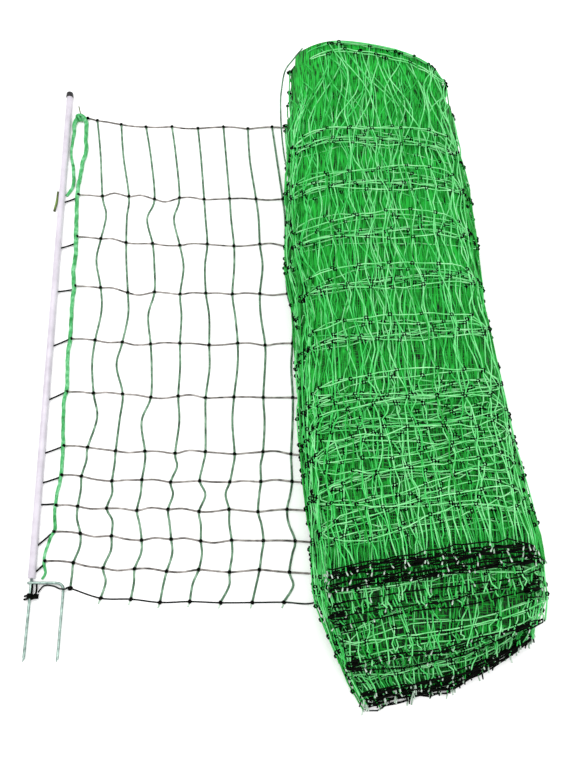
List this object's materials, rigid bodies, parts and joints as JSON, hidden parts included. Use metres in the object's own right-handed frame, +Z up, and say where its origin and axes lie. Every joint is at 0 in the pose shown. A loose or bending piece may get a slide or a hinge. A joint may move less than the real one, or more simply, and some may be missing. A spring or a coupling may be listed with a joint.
{
  "type": "folded poultry netting with its end post",
  "caption": "Green knotted poultry netting folded into a thick pack, its last ply laid out flat to an edge rope, a tied end post and a double ground spike.",
  "frame": {"origin": "middle of the footprint, on the floor", "axes": "+X from the end post to the folded pack, +Y from the net's foot to its top line, +Z up"},
  "size_m": [1.0266, 1.3986, 0.22],
  "materials": {
    "net_green": "twisted polyethylene strands, bright green, packed ply on ply",
    "net_strand": "twisted polyethylene strand, grey green with fine metal wires, dark knots",
    "line_black": "black twisted polyethylene line",
    "rope_green": "loosely laid green polyethylene rope",
    "tail_brown": "dark cut cord end",
    "post_white": "white extruded plastic, smooth, slightly shiny",
    "cap_black": "black moulded plastic",
    "spike_zinc": "galvanised round steel rod"
  },
  "bodies": {
    "root": {"folded_net": "net_green", "loose_net": "net_strand", "bottom_line": "line_black", "edge_rope": "rope_green", "rope_tail": "tail_brown", "top_twine": "tail_brown", "post_shaft": "post_white", "post_cap": "cap_black", "double_spike": "spike_zinc", "foot_knot": "line_black", "tie_row_02": "line_black", "tie_row_03": "line_black", "tie_row_04": "line_black", "tie_row_05": "line_black", "tie_row_06": "line_black", "tie_row_07": "line_black", "tie_row_08": "line_black", "tie_row_09": "line_black", "tie_row_10": "line_black", "tie_row_11": "line_black"}
  },
  "joints": []
}
